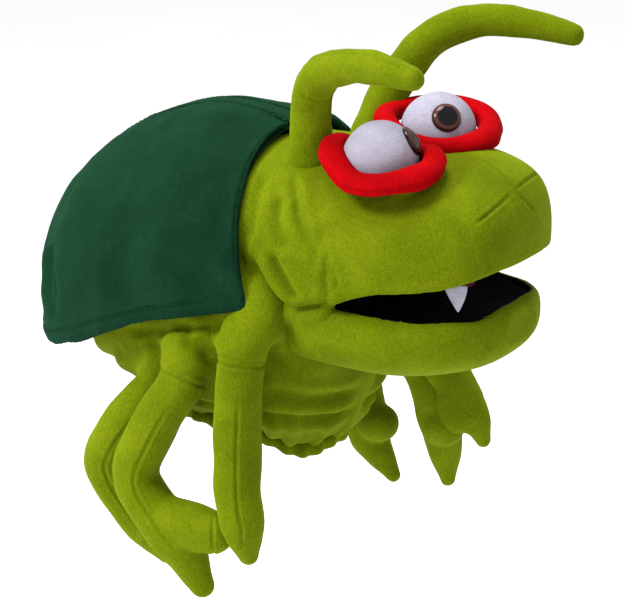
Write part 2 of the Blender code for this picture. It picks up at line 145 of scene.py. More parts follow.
def bake(obj):
    """Apply every modifier."""
    bpy.context.view_layer.update()
    graph = bpy.context.evaluated_depsgraph_get()
    mesh = bpy.data.meshes.new_from_object(obj.evaluated_get(graph))
    obj.modifiers.clear()
    old = obj.data
    obj.data = mesh
    bpy.data.meshes.remove(old)
    return obj


def remove(*objs):
    for obj in objs:
        bpy.data.objects.remove(obj, do_unlink=True)


def combine(target, others, operation):
    """Boolean the others into the target, then drop them."""
    for other in others:
        mod = target.modifiers.new("join", "BOOLEAN")
        mod.operation = operation
        mod.solver = "EXACT"
        mod.object = other
    bake(target)
    remove(*others)
    return target


def remesh(obj, voxel, smooth=4, subdivide=0):
    """Even quads over a closed form, relaxed so that every edge is a soft plush one."""
    mod = obj.modifiers.new("voxel", "REMESH")
    mod.mode = "VOXEL"
    mod.voxel_size = voxel * MM
    mod.use_smooth_shade = True
    if smooth:
        mod = obj.modifiers.new("relax", "SMOOTH")
        mod.factor = 0.6
        mod.iterations = smooth
    if subdivide:
        mod = obj.modifiers.new("fine", "SUBSURF")
        mod.levels = mod.render_levels = subdivide
    return bake(obj)


def points_of(obj):
    co = np.empty(len(obj.data.vertices) * 3)
    obj.data.vertices.foreach_get("co", co)
    return co.reshape(-1, 3) / MM


def normals_of(obj):
    normals = np.empty(len(obj.data.vertices) * 3)
    obj.data.vertex_normals.foreach_get("vector", normals)
    return normals.reshape(-1, 3)


def set_points(obj, co):
    obj.data.vertices.foreach_set("co", (co * MM).ravel())
    obj.data.update()


def push(obj, amount):
    """Move each point along its normal by an amount in millimetres."""
    set_points(obj, points_of(obj) + normals_of(obj) * amount[:, None])


def snap(obj, line, step=2.0):
    """The line through these points laid onto the surface."""
    tree = BVHTree.FromObject(obj, bpy.context.evaluated_depsgraph_get())
    dense = spline(line, 8) if len(line) > 2 else [
        np.array(line[0]) + (np.array(line[1]) - np.array(line[0])) * t / 12 for t in range(13)]
    laid = [np.array(tree.find_nearest(Vector(p) * MM)[0]) / MM for p in dense]
    out = [laid[0]]
    for point in laid[1:]:
        if np.linalg.norm(point - out[-1]) > step * 0.5:
            out.append(point)
    return np.array(out)


def along(co, line, reach):
    """Distance to a line and place along it, for each point nearer than reach."""
    best = np.full(len(co), 1e9)
    place = np.zeros(len(co))
    inside = np.flatnonzero(((co > line.min(0) - reach) & (co < line.max(0) + reach)).all(1))
    near = co[inside]
    run = 0.0
    for a, b in zip(line, line[1:]):
        ab = b - a
        length = np.linalg.norm(ab)
        t = np.clip((near - a) @ ab / (length * length), 0, 1)
        d = np.linalg.norm(near - a - t[:, None] * ab, axis=1)
        closer = d < best[inside]
        best[inside[closer]] = d[closer]
        place[inside[closer]] = run + t[closer] * length
        run += length
    return best, place, run


def crease(obj, line, depth, width, fade=True, stitch=0.0):
    """Press a soft valley into the surface along a line; stitch is a stitch's length."""
    laid = snap(obj, line)
    co = points_of(obj)
    d, place, run = along(co, laid, width * 4)
    amount = -depth * (np.exp(-(d / width) ** 2)
                       - SHOULDER * np.exp(-((d - 2.0 * width) / width) ** 2))
    if stitch:
        amount *= 1.0 + 0.35 * np.cos(2 * np.pi * place / stitch)
    if fade:
        ends = np.clip(np.minimum(place, run - place) / (0.22 * run), 0, 1)
        amount *= ends * ends * (3 - 2 * ends)
    push(obj, amount)
    return laid


def lumps(obj, amount, size, seed):
    """Gentle unevenness of a stuffed form."""
    co = points_of(obj)
    shift = Vector((seed * 7.1, seed * 3.7, seed * 1.3))
    height = np.array([noise.noise(Vector(p) / size + shift) for p in co])
    push(obj, height * amount)


def mirrored(point, side):
    return (point[0] * side, point[1], point[2])


def press_folds(obj, folds, side):
    """Creases from a list of (points, depth, width), on one side."""
    for points, depth, width in folds:
        crease(obj, [mirrored(p, side) for p in points], depth, width)


def upright(y, half, low, high, squareness, sides=80):
    """A ring that stands across the puppet."""
    return [(x, y, z) for x, z in superellipse((0.0, (low + high) / 2), (half, (high - low) / 2),
                                               sides, squareness)]


def level(z, half_x, half_y, middle=0.0, squareness=2.0, sides=48):
    """A ring that lies flat round the hand opening's axis."""
    return [(x, y, z) for x, y in superellipse((0.0, middle), (half_x, half_y), sides, squareness)]


def stitches(name, lines, length, gap, radius, body, mat):
    """Thread lying in short dashes along lines on the surface."""
    verts, faces = [], []
    for line in lines:
        run = np.concatenate([[0], np.cumsum(np.linalg.norm(np.diff(line, axis=0), axis=1))])
        place = gap
        while place + length < run[-1] - gap:
            ends = [np.array([np.interp(s, run, line[:, k]) for k in range(3)])
                    for s in (place, place + length / 2, place + length)]
            direction = Vector(ends[2] - ends[0]).normalized()
            side = direction.orthogonal().normalized()
            up = direction.cross(side)
            base = len(verts)
            for centre, share in zip(ends, (0.45, 1.0, 0.45)):
                for k in range(6):
                    turn = math.tau * k / 6
                    verts.append(Vector(centre) + (side * math.cos(turn) + up * math.sin(turn))
                                 * radius * share)
            for ring in (0, 6):
                for k in range(6):
                    j = (k + 1) % 6
                    faces.append((base + ring + k, base + ring + j, base + ring + 6 + j,
                                  base + ring + 6 + k))
            faces.append(tuple(base + k for k in reversed(range(6))))
            faces.append(tuple(base + 12 + k for k in range(6)))
            place += length + gap
    obj = make(name, verts, faces)
    obj.data.shade_smooth()
    fix_normals(obj)
    obj.data.materials.append(mat)
    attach(obj, body)


# ---------------------------------------------------------------- materials

class Nodes:
    """A short way to build a node material round one Principled shader."""

    def __init__(self, name):
        self.mat = bpy.data.materials.new(name)
        self.mat.use_nodes = True
        self.tree = self.mat.node_tree
        self.shader = self.tree.nodes["Principled BSDF"]
        self.coords = self.tree.nodes.new("ShaderNodeTexCoord").outputs["Object"]

    def add(self, kind, **settings):
        node = self.tree.nodes.new(kind)
        for key, value in settings.items():
            setattr(node, key, value)
        return node

    def link(self, a, b):
        self.tree.links.new(a, b)

    def set(self, **values):
        for key, value in values.items():
            self.shader.inputs[key.replace("_", " ")].default_value = value

    def noise(self, scale, detail=3.0, rough=0.6, distortion=0.0, stretch=None):
        node = self.add("ShaderNodeTexNoise")
        node.inputs["Scale"].default_value = scale
        node.inputs["Detail"].default_value = detail
        node.inputs["Roughness"].default_value = rough
        node.inputs["Distortion"].default_value = distortion
        source = self.coords
        if stretch:
            mapping = self.add("ShaderNodeMapping")
            mapping.inputs["Scale"].default_value = stretch
            self.link(source, mapping.inputs["Vector"])
            source = mapping.outputs["Vector"]
        self.link(source, node.inputs["Vector"])
        return node.outputs["Fac"]

    def ramp(self, factor, stops):
        node = self.add("ShaderNodeValToRGB")
        ramp = node.color_ramp
        while len(ramp.elements) < len(stops):
            ramp.elements.new(0.5)
        for element, (place, colour) in zip(ramp.elements, stops):
            element.position = place
            element.color = (*colour, 1.0)
        self.link(factor, node.inputs["Fac"])
        return node.outputs["Color"]

    def greys(self, factor, low, high, dark, light):
        """A ramp from one grey to another between two places."""
        return self.ramp(factor, [(low, (dark,) * 3), (high, (light,) * 3)])

    def multiply(self, share, base, shade):
        """A colour shaded by another."""
        node = self.add("ShaderNodeMix", data_type="RGBA", blend_type="MULTIPLY")
        node.inputs[0].default_value = share
        self.link(base, node.inputs[6])
        self.link(shade, node.inputs[7])
        return node.outputs[2]

    def maths(self, operation, a, b=0.0):
        node = self.add("ShaderNodeMath", operation=operation)
        for value, socket in ((a, node.inputs[0]), (b, node.inputs[1])):
            if isinstance(value, (int, float)):
                socket.default_value = value
            else:
                self.link(value, socket)
        return node.outputs[0]

    def bump(self, heights, strength=0.5):
        """Bump from a list of (height, distance) pairs, one over the other."""
        normal = None
        for height, reach in heights:
            node = self.add("ShaderNodeBump")
            node.inputs["Strength"].default_value = strength
            node.inputs["Distance"].default_value = reach
            self.link(height, node.inputs["Height"])
            if normal:
                self.link(normal, node.inputs["Normal"])
            normal = node.outputs["Normal"]
        self.link(normal, self.shader.inputs["Normal"])


def plush(name, deep, middle, light, sheen, sheen_colour):
    """Short pile: fine standing fibres, brushed patches, and light on the tips."""
    n = Nodes(name)
    pile = n.noise(2300.0, 3.0, 0.75)
    tuft = n.noise(900.0, 3.0, 0.65, stretch=(1.0, 1.0, 0.55))
    brushed = n.noise(38.0, 3.0, 0.55, 0.6)
    drift = n.noise(11.0, 2.0, 0.5)
    base = n.ramp(brushed, [(0.32, deep), (0.52, middle), (0.72, light)])
    shade = n.ramp(pile, [(0.28, (0.45, 0.45, 0.4)), (0.5, (1.0, 1.0, 1.0)),
                          (0.7, (1.5, 1.46, 1.9))])
    base = n.multiply(1.0, base, shade)
    shade = n.ramp(tuft, [(0.3, (0.74, 0.74, 0.7)), (0.7, (1.24, 1.22, 1.3))])
    base = n.multiply(0.6, base, shade)
    shade = n.ramp(drift, [(0.35, (0.85, 0.85, 0.85)), (0.65, (1.15, 1.15, 1.1))])
    base = n.multiply(0.2, base, shade)
    n.link(base, n.shader.inputs["Base Color"])
    n.link(n.greys(tuft, 0.3, 0.7, 0.95, 0.78), n.shader.inputs["Roughness"])
    n.set(Sheen_Weight=sheen, Sheen_Roughness=0.45, Sheen_Tint=(*sheen_colour, 1.0),
          Specular_IOR_Level=0.03)
    n.bump([(brushed, 0.0006), (tuft, 0.0008), (pile, 0.0004)], 0.6)
    return n.mat


def fleece(name, deep, light, sheen, scale=1500.0):
    """Brushed fleece or felt: soft nap, small clumps and stray fibres."""
    n = Nodes(name)
    nap = n.noise(scale, 4.0, 0.7)
    clump = n.noise(scale * 0.22, 3.0, 0.6, 0.8)
    tone = n.noise(30.0, 2.0, 0.5)
    base = n.ramp(clump, [(0.3, deep), (0.7, light)])
    base = n.multiply(0.6, base, n.greys(nap, 0.3, 0.7, 0.72, 1.2))
    base = n.multiply(0.3, base, n.greys(tone, 0.35, 0.65, 0.85, 1.1))
    n.link(base, n.shader.inputs["Base Color"])
    n.set(Roughness=0.9, Sheen_Weight=sheen, Sheen_Roughness=0.5, Specular_IOR_Level=0.03)
    n.bump([(clump, 0.0005), (nap, 0.0003)], 0.5)
    return n.mat


def woven(name, deep, light, threads=1100.0):
    """Flat woven cloth: crossed threads with a slight slub."""
    n = Nodes(name)
    waves = []
    for axis in ("X", "Y", "Z"):
        wave = n.add("ShaderNodeTexWave", wave_type="BANDS", bands_direction=axis)
        wave.inputs["Scale"].default_value = threads / 3.1
        wave.inputs["Distortion"].default_value = 0.6
        n.link(n.coords, wave.inputs["Vector"])
        waves.append(wave.outputs["Fac"])
    weave = n.maths("MULTIPLY", n.maths("MAXIMUM", waves[0], waves[1]), waves[2])
    slub = n.noise(240.0, 3.0, 0.6)
    base = n.ramp(slub, [(0.3, deep), (0.7, light)])
    base = n.multiply(0.5, base, n.greys(weave, 0.2, 0.8, 0.6, 1.2))
    n.link(base, n.shader.inputs["Base Color"])
    n.set(Roughness=0.85, Specular_IOR_Level=0.03)
    n.bump([(weave, 0.00025), (slub, 0.0003)], 0.5)
    return n.mat


def eye_plastic(name, centre, axis, iris_radius, pupil_radius):
    """Polished safety eye: dark pupil, brown iris with fine spokes, darker rim."""
    n = Nodes(name)
    turn = Vector(axis).rotation_difference(Vector((0.0, 0.0, 1.0))).to_euler()
    mapping = n.add("ShaderNodeMapping", vector_type="POINT")
    shifted = n.add("ShaderNodeVectorMath", operation="SUBTRACT")
    shifted.inputs[1].default_value = centre
    n.link(n.coords, shifted.inputs[0])
    mapping.inputs["Rotation"].default_value = turn
    n.link(shifted.outputs[0], mapping.inputs["Vector"])
    split = n.add("ShaderNodeSeparateXYZ")
    n.link(mapping.outputs["Vector"], split.inputs["Vector"])
    square = n.maths("ADD", n.maths("MULTIPLY", split.outputs["X"], split.outputs["X"]),
                     n.maths("MULTIPLY", split.outputs["Y"], split.outputs["Y"]))
    radius = n.maths("SQRT", square)
    spokes = n.noise(420.0, 3.0, 0.7, 1.5)
    reach = n.maths("DIVIDE", radius, iris_radius * MM)
    edge = pupil_radius / iris_radius
    ring = n.ramp(reach, [(0.0, (0.003, 0.003, 0.004)), (edge - 0.03, (0.003, 0.003, 0.004)),
                          (edge + 0.03, (0.075, 0.028, 0.02)), (0.9, (0.055, 0.018, 0.014)),
                          (1.0, (0.012, 0.006, 0.006))])
    shade = n.ramp(spokes, [(0.35, (0.6, 0.6, 0.6)), (0.65, (1.35, 1.3, 1.25))])
    n.link(n.multiply(0.5, ring, shade), n.shader.inputs["Base Color"])
    n.link(n.greys(spokes, 0.3, 0.7, 0.05, 0.09), n.shader.inputs["Roughness"])
    n.set(Coat_Weight=0.12, Coat_Roughness=0.02, Specular_IOR_Level=0.12)
    return n.mat


MATS = {
    "green_plush": plush("green_plush", (0.076, 0.105, 0.0006), (0.092, 0.126, 0.0009),
                         (0.11, 0.148, 0.0018), 0.22, (0.7, 0.9, 0.02)),
    "dark_plush": plush("dark_plush", (0.0022, 0.0165, 0.0068), (0.003, 0.02, 0.0084),
                        (0.0042, 0.0245, 0.0108), 0.07, (0.06, 0.6, 0.26)),
    "red_fleece": fleece("red_fleece", (0.24, 0.0001, 0.001), (0.33, 0.0002, 0.0022), 0.0),
    "white_fleece": fleece("white_fleece", (0.255, 0.24, 0.295), (0.295, 0.28, 0.34), 0.02),
    "fang_felt": fleece("fang_felt", (0.21, 0.21, 0.25), (0.27, 0.27, 0.32), 0.03, 2000.0),
    "tongue_felt": fleece("tongue_felt", (0.3, 0.006, 0.03), (0.42, 0.012, 0.05), 0.2),
    "black_cloth": woven("black_cloth", (0.0012, 0.0014, 0.0028), (0.003, 0.0033, 0.006)),
    "lining_cloth": woven("lining_cloth", (0.1, 0.13, 0.02), (0.16, 0.2, 0.04)),
    "elastic": woven("elastic", (0.5, 0.5, 0.47), (0.7, 0.7, 0.66), 700.0),
    "board": fleece("board", (0.25, 0.17, 0.1), (0.36, 0.26, 0.16), 0.0, 600.0),
    "stuffing": fleece("stuffing", (0.6, 0.6, 0.58), (0.85, 0.85, 0.83), 0.3, 300.0),
    "dark_thread": woven("dark_thread", (0.006, 0.03, 0.018), (0.02, 0.07, 0.045), 3000.0),
}


def dress(obj, mat):
    """Give a finished piece its material and smooth shading."""
    obj.data.materials.clear()
    obj.data.materials.append(MATS[mat])
    obj.data.shade_smooth()


def settle(obj, body, node, mat):
    """Dress a piece that rides on one body and stands for one CAD node."""
    dress(obj, mat)
    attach(obj, body)
    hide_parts(node)


# ---------------------------------------------------------------- head

# Upright sections of the head: Y, half width, bottom, top, squareness.
HEAD_SECTIONS = [
    (-12, 57, 78, 168, 2.3), (-26, 61.5, 69, 170, 2.3),
    (-45, 63, 62, 170, 2.3), (-65, 62.5, 59.5, 169.5, 2.3),
    (-90, 61, 60, 168.5, 2.5), (-112, 57.5, 64, 168.5, 2.8),
    (-128, 52, 72, 166.5, 2.9), (-140, 45.5, 84, 163.5, 2.8),
    (-148.5, 37, 95, 159.5, 2.6), (-153.5, 26.5, 108, 153.5, 2.4),
    (-156.2, 12, 122, 146.5, 2.1),
]
# Sections of the lower jaw: Y, half width, bottom, lip, squareness.
JAW_SECTIONS = [
    (-52, 56, 64, 95, 2.4), (-68, 60, 60.5, 100.5, 2.4),
    (-82, 60.5, 60, 103, 2.4), (-96, 59, 60.5, 103, 2.45),
    (-109, 56, 61.5, 102.3, 2.5), (-122, 52, 64, 101.8, 2.6),
    (-133, 46, 67, 102.4, 2.6), (-142, 38, 71, 102.6, 2.5),
    (-148.5, 27.5, 76, 102.4, 2.4), (-153.3, 14, 82, 100.5, 2.2),
]
# The upper lip from the mouth corner to the nose, and the back edge of the cheek: Y, Z.
UPPER_LIP = [(-76, 103), (-82, 104.5), (-90, 107.8), (-102, 111.3), (-116, 113.6),
             (-134, 116.8), (-147, 120.6), (-156, 124.5), (-176, 130)]
CHEEK_EDGE = [(-30, 122), (-33, 108), (-38, 95), (-43, 84), (-50, 74),
              (-60, 65), (-70, 57), (-76, 48), (-70, 30)]


def prism(name, outline, reach=90.0):
    """A cutter: an outline in Y and Z pulled out along X."""
    rings = [[(x, y, z) for y, z in outline] for x in (-reach, reach)]
    return loft(name, rings, capped=True)


def at(rows, y, column):
    """One column of a table of sections, read at a place along the puppet."""
    table = np.array(rows)[::-1]
    return float(np.interp(y, table[:, 0], table[:, column]))


def mouth_outline(rows, inset, front, count=28):
    """A horseshoe inside the lips: points (x, y) from the left corner round to the right."""
    points = []
    for i in range(count + 1):
        angle = math.pi * i / count
        y = MOUTH_BACK + (front - MOUTH_BACK) * power(math.sin(angle), 0.8)
        limit = max(at(rows, y, 1) - inset, 0.0)
        x = (at(rows, MOUTH_BACK, 1) - inset) * power(math.cos(angle), 0.55)
        points.append((max(-limit, min(limit, x)), y))
    return points


def hollow(name, rows, line, column, inset, front, shallow, deep):
    """A cutter for the mouth's hollow, between two depths beyond the lip line."""
    outline = mouth_outline(rows, inset, front)
    rings = []
    for depth, reach in ((shallow, 1.0), (deep * 0.5, 0.99), (deep, 0.93)):
        rings.append([(x * reach, MOUTH_BACK + (y - MOUTH_BACK) * reach,
                       at(line, y, column) + depth) for x, y in outline])
    return loft(name, rings, capped=True)


def jaw_rings(sides=80):
    """Jaw sections: full below, with a soft rounded rim that carries the lip."""
    rings = []
    for y, half, bottom, lip, squareness in spline(JAW_SECTIONS, 3):
        wide = lip - 13.0
        under = superellipse((0.0, wide), (half, wide - bottom), sides, squareness)
        above = superellipse((0.0, wide), (half, lip - wide), sides, 3.2)
        rings.append([(x, y, z) for x, z in above[:sides // 2] + under[sides // 2:]])
    return rings


def ease(value, low, high):
    """0 below low, 1 above high, smooth between."""
    t = np.clip((value - low) / (high - low), 0.0, 1.0)
    return t * t * (3.0 - 2.0 * t)


def tilt(obj, slope=0.12):
    """The hand inside pushes the top of the nose up a little on the puppet's left."""
    co = points_of(obj)
    share = ease(co[:, 2], 120.0, 162.0) * ease(-co[:, 1], 62.0, 118.0)
    co[:, 2] += slope * co[:, 0] * share
    set_points(obj, co)


def head_plush():
    """Head and lower jaw in one skin, with the mouth cut in and the nose darts sewn."""
    head = loft("head_plush", [upright(*row) for row in spline(HEAD_SECTIONS, 3)], capped=True)
    below = prism("below", UPPER_LIP + [(-176.0, 30.0), (-76.0, 30.0)])
    roof = hollow("roof", HEAD_SECTIONS, UPPER_LIP, 1, LIP, -149.0, -12.0, 6.5)
    combine(head, [below, roof], "DIFFERENCE")
    jaw = loft("jaw", jaw_rings(), capped=True)
    floor = hollow("floor", JAW_SECTIONS, JAW_SECTIONS, 3, LIP, -146.5, 12.0, -13.5)
    combine(jaw, [floor], "DIFFERENCE")
    combine(head, [jaw], "UNION")
    combine(head, [prism("behind", CHEEK_EDGE + [(40.0, 30.0), (40.0, 122.0)])], "DIFFERENCE")
    remesh(head, 1.8, 6, 1)
    tilt(head)
    shape_head(head)
    dress(head, "green_plush")
    head.data.materials.append(MATS["black_cloth"])
    for face in head.data.polygons:
        x, y, z = (c / MM for c in face.center)
        low, high = at(JAW_SECTIONS, y, 3) - 3.0, at(UPPER_LIP, y, 1) + 2.5
        if -148.0 < y < -66.0 and 84.0 < z < high + 7.0 and (y > -84.0 or not low < z < high):
            if abs(x) < min(at(HEAD_SECTIONS, y, 1), at(JAW_SECTIONS, y, 1)) - 7.0:
                face.material_index = 1
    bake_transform(head)
    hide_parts("head_skin", "jaw_skin")


def shape_head(head):
    """Seams, darts, the tucked mouth corner and the soft folds of the neck."""
    nose = (-5.0, -149.0, 159.0)
    crease(head, [(8.0, -118.0, 168.0), (3.0, -134.0, 166.0), nose], 0.9, 0.9)
    crease(head, [nose, (-1.0, -154.5, 153.0), (5.0, -157.5, 147.0)], 0.6, 0.9)
    crease(head, [nose, (-22.0, -149.5, 155.5), (-38.0, -145.5, 149.0)], 0.9, 0.8)
    crease(head, [nose, (13.0, -148.0, 161.0), (34.0, -144.0, 160.0)], 1.0, 0.9)
    for side in (1, -1):
        press_folds(head, NECK_FOLDS, side)
    lumps(head, 1.0, 34.0, 3)


# Soft folds on each side of the neck and at the mouth corner: points, depth, width.
NECK_FOLDS = [
    ([(48, -45, 150), (56.5, -49.5, 137), (61, -58, 125)], 2.6, 3.2),
    ([(37, -45, 158), (54, -60, 142), (59.5, -71, 131), (61, -75, 118)],
     2.4, 2.6),
    ([(55.5, -71, 140), (60, -78, 128.5), (61, -82, 117.5)], 1.6, 2.2),
    ([(37, -31, 154), (53.5, -33.5, 138), (58.5, -33, 124.5)], 2.4, 3.4),
    ([(60, -81, 125), (61, -85, 112)], 1.4, 2),
    ([(61, -58, 97), (61.5, -70, 101), (61, -82, 104.5)], 4.2, 2.6),
    ([(59, -33, 123), (61.5, -47, 103), (61, -60, 95.5)], 4, 3.6),
    ([(60, -46, 127), (62, -55.5, 113), (62, -63.5, 102.5)], 3.2, 2.8),
    ([(59.5, -76, 130), (61.5, -79, 111.5), (61.5, -78, 105)], 1.8, 2.2),
    ([(61, -50, 88), (60, -60, 80), (54, -72, 70)], 1.4, 5),
]


def mouth_lining(name, rows, line, column, front, depth, body, cad):
    """Black cloth inside the lips, laid into a hollow of the mouth."""
    outline = mouth_outline(rows, LIP - 1.0, front, 36)
    rings = []
    for share in np.linspace(0.0, 1.0, 12):
        reach = 1.0 - share
        sag = 1.0 - reach ** 5
        ring = []
        for x, y in outline:
            py = MOUTH_BACK + (y - MOUTH_BACK) * (0.15 + 0.85 * reach)
            ring.append((x * reach, py, at(line, py, column) + depth * (0.45 + 0.55 * sag)))
        rings.append(ring)
    sheet = loft(name, rings, closed=False)
    mod = sheet.modifiers.new("cloth", "SOLIDIFY")
    mod.thickness = 1.2 * MM
    mod.offset = 0.0
    bake(sheet)
    settle(sheet, body, cad, "black_cloth")
    return sheet


def board(name, rows, line, column, front, depth, body, cad):
    """A stiff card behind the lining, cut to the shape of the mouth."""
    outline = mouth_outline(rows, LIP + 2.5, front, 36)
    rings = [[(x, y, at(line, y, column) + depth + lift) for x, y in outline]
             for lift in (0.0, 1.4)]
    card = loft(name, rings, capped=True)
    settle(card, body, cad, "board")


def filling(name, rings, body, cad):
    """Loose fibre inside a skin."""
    piece = loft(name, rings, capped=True)
    remesh(piece, 3.0, 3)
    settle(piece, body, cad, "stuffing")


def head_fillings():
    """The fibre above the palate card and below the jaw card."""
    lower, upper = [], []
    for y, half, bottom, lip, squareness in spline(JAW_SECTIONS[1:-1], 3):
        lower.append(upright(y, half - 6.0, bottom + 4.0, lip - 15.0, 2.4, 48))
    for y, half, bottom, top, squareness in spline(HEAD_SECTIONS[2:-2], 3):
        upper.append(upright(y, half - 15.0, at(UPPER_LIP, y, 1) + 11.0, top - 12.0, 2.0, 48))
    filling("jaw_filling", lower, "jaw", "jaw_stuffing")
    filling("head_filling", upper, "head", "head_stuffing")


def fang():
    """A white felt tooth: a flat curved triangle sewn under the lip."""
    low, high = node_box("fang")
    x = (low.x + high.x) / 2 + 4.0
    middle = (low.y + high.y) / 2 + 2.2
    top = high.z - 2.0
    length = high.z - low.z
    rings = []
    for share in np.linspace(0.0, 1.0, 16):
        width = 6.6 * (1.0 - share ** 1.5) + 0.3
        thick = 1.7 * (1.0 - 0.6 * share)
        lean = 2.2 * share
        rings.append([(x + b, middle + a, top - length * share)
                      for a, b in superellipse((-lean, 0.0), (width, thick), 20, 2.3)])
    tooth = loft("fang_felt", rings, capped=True)
    remesh(tooth, 0.5, 3)
    settle(tooth, "head", "fang", "fang_felt")


# The tongue's middle line in plan, from its root to its tip, with its half widths.
TONGUE_PATH = [(16, -78, 7.5), (23, -88, 9.5), (30, -98, 8.5), (36, -107, 4.5)]


def tongue():
    """A crimson felt tongue, flopped to the left on the floor of the mouth."""
    low, high = node_box("tongue")
    rings = []
    for middle, y, half in spline(TONGUE_PATH, 7):
        share = (high.y - y) / (high.y - low.y)
        z = low.z - 0.5 - 1.6 * share ** 2
        rings.append([(a, y, z + b - 0.02 * (a - middle) ** 2)
                      for a, b in superellipse((middle, 0.0), (half, 1.9), 32, 2.6)])
    piece = loft("tongue_felt", rings, capped=True)
    remesh(piece, 0.8, 4)
    crease(piece, [(x, y, high.z) for x, y, half in TONGUE_PATH], 0.7, 1.2)
    settle(piece, "jaw", "tongue", "tongue_felt")


# ---------------------------------------------------------------- eyes

def turned(name, profile, centre, axis, sides=64):
    """A turned form from (radius, height) pairs; zero radii close the ends."""
    turn = Vector((0.0, 0.0, 1.0)).rotation_difference(Vector(axis)).to_matrix()
    rings = []
    for radius, height in profile:
        rings.append([Vector(centre) + turn @ Vector((max(radius, 0.01) * math.cos(a),
                                                      max(radius, 0.01) * math.sin(a), height))
                      for a in (math.tau * i / sides for i in range(sides))])
    return loft(name, rings, capped=True)


def eye(side):
    tag = SIDES[side]
    centre, radius, gaze = EYES[tag]
    centre, gaze = Vector(centre), Vector(gaze).normalized()
    profile = [(radius * math.sin(a), radius * math.cos(a))
               for a in np.linspace(math.radians(2), math.radians(178), 60)]
    ball = turned("eye_ball_" + tag, profile, centre, gaze)
    remesh(ball, 0.8, 2)
    # The plastic eye is pulled in a little where its shank is locked.
    co = points_of(ball)
    rel = co - np.array(centre)
    axis = np.array(gaze)
    front = rel @ axis
    away = np.linalg.norm(rel - front[:, None] * axis, axis=1)
    push(ball, np.where(front > 0, -1.3 * np.exp(-(away / 6.5) ** 4), 0.0))
    lumps(ball, 0.35, 9.0, side + 5)
    settle(ball, "head", "eyeball_" + tag, "white_fleece")
    dome = [(3.0, -1.0), (7.2, -0.6), (7.5, -0.1), (7.5, 0.3), (7.3, 0.8)]
    dome += [(7.3 * math.cos(a), 0.8 + 2.9 * math.sin(a))
             for a in np.linspace(0.12, math.pi / 2 - 0.02, 14)]
    lens = turned("eye_lens_" + tag, [(r, h + radius * 0.915) for r, h in dome], centre, gaze)
    lens.data.materials.append(eye_plastic("eye_plastic_" + tag, Vector(centre) * MM, gaze,
                                           7.4, 5.2))
    lens.data.shade_smooth()
    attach(lens, "head")
    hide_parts("safety_eye_" + tag)


# Each lid's roll: bearing in degrees from its outer side through the front, distance from
# the ball's centre, height, half width, half height.
LIDS = {
    "right": [(0, 24.5, -6, 6.4, 5), (45, 27.5, -5, 6.6, 5.2), (80, 28.7, -2, 6.2, 5.2),
              (112, 26.8, 2, 5.2, 4.8), (150, 23.8, 1, 3.6, 4.2), (200, 22.8, -1, 3.4, 4),
              (240, 23.8, 1.5, 5, 4.6), (280, 24, 5, 6.4, 5), (320, 23.6, 1.5, 6.6, 5)],
    "left": [(0, 26, 6.5, 6.6, 5.6), (30, 26.5, 4.5, 6.8, 6.2), (57, 26.3, 1, 6.4, 6),
             (95, 26, -1.5, 6.2, 5.4), (145, 25, -2.5, 4.6, 4.8), (190, 23.8, -1, 4, 4.4),
             (235, 26.6, 5, 5.8, 5.2), (275, 28.5, 6, 6.8, 5.2), (320, 26.8, 7, 6.8, 5.4)],
}


def eyelid(side):
    """A stuffed red roll round the ball, thin where the two lids meet."""
    tag = SIDES[side]
    centre = Vector(EYES[tag][0])
    rows = LIDS[tag]
    around = [(a - 360.0, *rest) for a, *rest in rows[-2:]] + rows \
        + [(a + 360.0, *rest) for a, *rest in rows[:2]]
    dense = np.array(spline(around, 12))
    rings, seam = [], []
    for i in range(96):
        bearing = 360.0 * i / 96
        reach, lift, wide, high = (np.interp(bearing, dense[:, 0], dense[:, k])
                                   for k in range(1, 5))
        angle = math.radians(bearing)
        outward = Vector((side * math.cos(angle), -math.sin(angle), 0.0))
        middle = centre + outward * reach + Vector((0.0, 0.0, lift))
        ring = []
        for a, b in superellipse((0.0, 0.0), (wide, high), 26, 2.15):
            ring.append(middle + outward * a + Vector((0.0, 0.0, b - 0.14 * a)))
        rings.append(ring)
        if bearing < 150 or bearing > 300:
            seam.append((bearing if bearing < 150 else bearing - 360,
                         middle + outward * wide * 1.1 - Vector((0.0, 0.0, 2.4))))
    lid = loft("lid_" + tag, rings, loop=True)
    remesh(lid, 0.9, 3)
    seam = [tuple(place) for bearing, place in sorted(seam, key=lambda entry: entry[0])][::4]
    crease(lid, seam, 0.7, 1.0, stitch=2.4)
    lumps(lid, 0.8, 12.0, side + 9)
    settle(lid, "head", "eyelid_" + tag, "red_fleece")


# ---------------------------------------------------------------- body

# Plan rings of the plush body: height, half width, half length, middle in Y, squareness.
BODY_RINGS = [
    (9, 44, 46, 1, 2), (14, 50, 53, 1.5, 2), (22, 58, 60, 3, 2.05),
    (34, 66, 66, 5, 2.15), (50, 70.5, 77, 10, 2.35), (70, 73, 86, 15, 2.5),
    (90, 73.5, 87, 18, 2.5), (110, 71, 82, 18, 2.5), (130, 64, 70, 17, 2.4),
    (148, 50, 54, 16, 2.3), (158, 32, 36, 16, 2.2), (162, 12, 14, 16, 2),
]


def cut_well(piece, stages):
    """Cut the round space for the hand: height and radius of each stage."""
    rings = [level(z, radius, radius) for z, radius in stages]
    combine(piece, [loft("well", rings, capped=True)], "DIFFERENCE")


